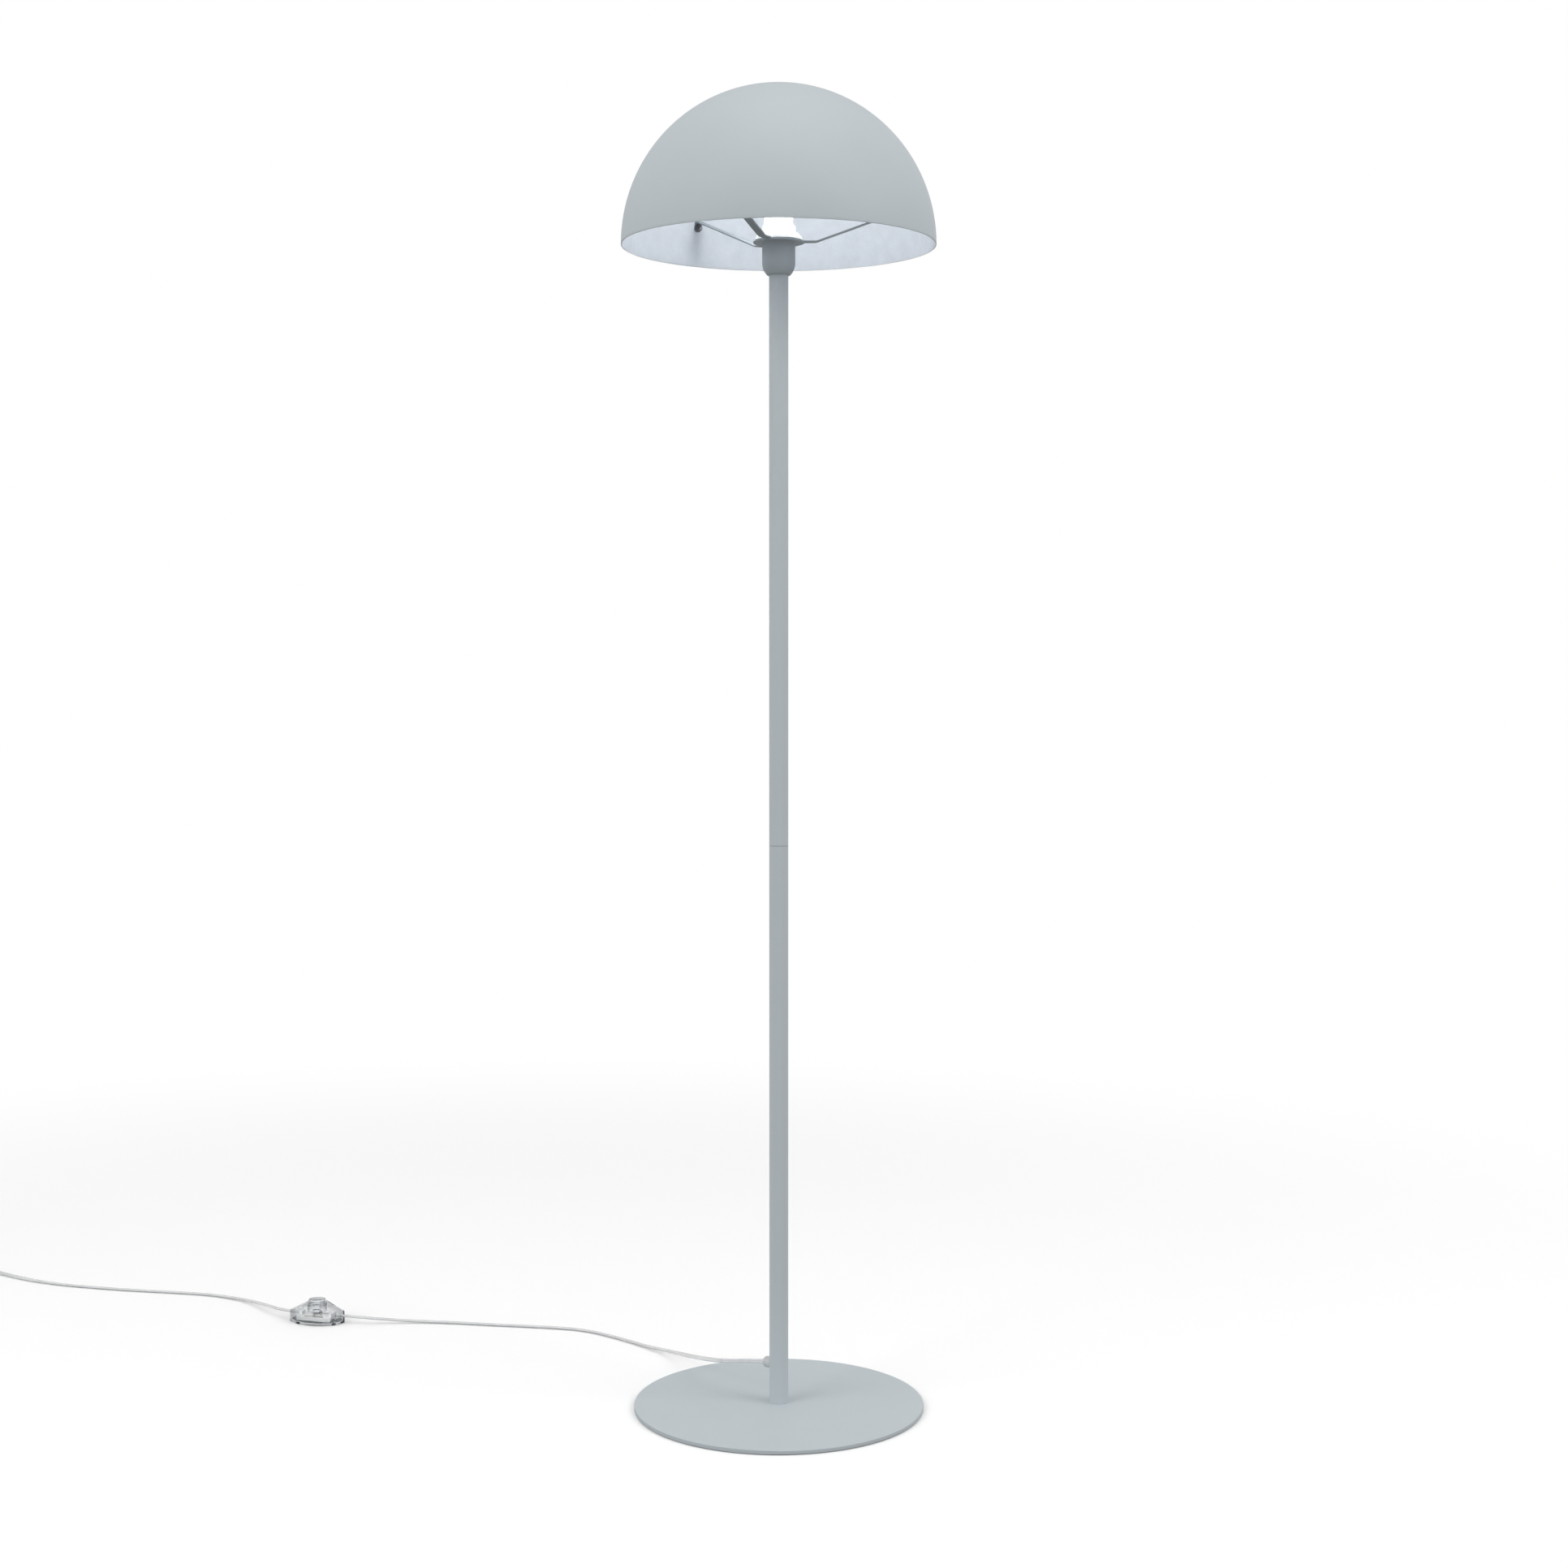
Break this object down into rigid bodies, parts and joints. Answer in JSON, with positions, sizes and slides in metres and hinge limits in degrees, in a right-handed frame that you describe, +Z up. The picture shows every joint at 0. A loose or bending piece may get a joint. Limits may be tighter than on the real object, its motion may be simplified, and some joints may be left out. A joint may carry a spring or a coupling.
{
  "type": "floor lamp",
  "caption": "Mushroom floor lamp: flat round base, slim two-piece pole, hemispherical shade on a spider over an opal bulb, clear cord with foot switch and plug.",
  "frame": {"origin": "on the floor under the axis of the pole, at the centre of the base", "axes": "+Z up along the pole; +X right and -Y towards the viewer of the picture; the cord leaves at the back left"},
  "size_m": [1.3551, 0.7699, 1.486],
  "materials": {
    "paint": "matt powder coat, pale blue-grey",
    "shade_paint": "matt powder coat, pale blue-grey outside, off-white inside",
    "zinc_steel": "zinc plated",
    "brass": "plain",
    "white_plastic": "moulded, fine satin",
    "grey_plastic": "translucent grey, moulded",
    "opal_glass": "opal",
    "felt": "pressed felt",
    "dark_plastic": "moulded",
    "clear_plastic": "clear, moulded",
    "clear_cord": "clear flexible jacket over two tinned conductors",
    "nickel": "nickel plated"
  },
  "bodies": {
    "lamp": {"base_felt": "felt", "base_plate": "paint", "base_screw": "zinc_steel", "foot_boss": "zinc_steel", "lower_tube": "paint", "cord_gland": "grey_plastic", "lower_joint_bush": "zinc_steel", "joint_nipple": "zinc_steel", "upper_joint_bush": "zinc_steel", "upper_tube": "paint", "top_bush": "zinc_steel", "top_nipple": "zinc_steel", "lampholder_cup": "paint", "lampholder_locknut": "zinc_steel", "lampholder_core": "white_plastic", "terminal_screws": "brass", "centre_contact": "brass", "screw_shell": "brass", "lampholder_skirt": "white_plastic", "shade_carrier": "paint", "clamp_ring": "white_plastic", "shade_dome": "shade_paint", "shade_studs": "zinc_steel", "shade_nuts": "zinc_steel", "bulb_cap": "nickel", "bulb_tip": "dark_plastic", "bulb_glass": "opal_glass", "inner_lead": "clear_cord", "lampholder_wires": "white_plastic", "cord_to_switch": "clear_cord", "switch_plate": "dark_plastic", "switch_cover": "clear_plastic", "switch_block": "white_plastic", "switch_contacts": "brass", "switch_screws": "zinc_steel", "button_spring": "zinc_steel", "cord_to_coil": "clear_cord", "cord_coil": "clear_cord", "coil_tie": "white_plastic", "plug_relief": "clear_plastic", "plug_body": "clear_plastic", "plug_pins": "nickel"},
    "foot_button": {"switch_button": "clear_plastic"}
  },
  "joints": [
    {"name": "button_press", "type": "slide", "parent": "lamp", "child": "foot_button", "axis": [0, 0, 1], "range_m": [-0.0035, 0], "stiffness_N_per_m": 800, "springref_m": 0.003, "deforming": ["button_spring"]}
  ]
}
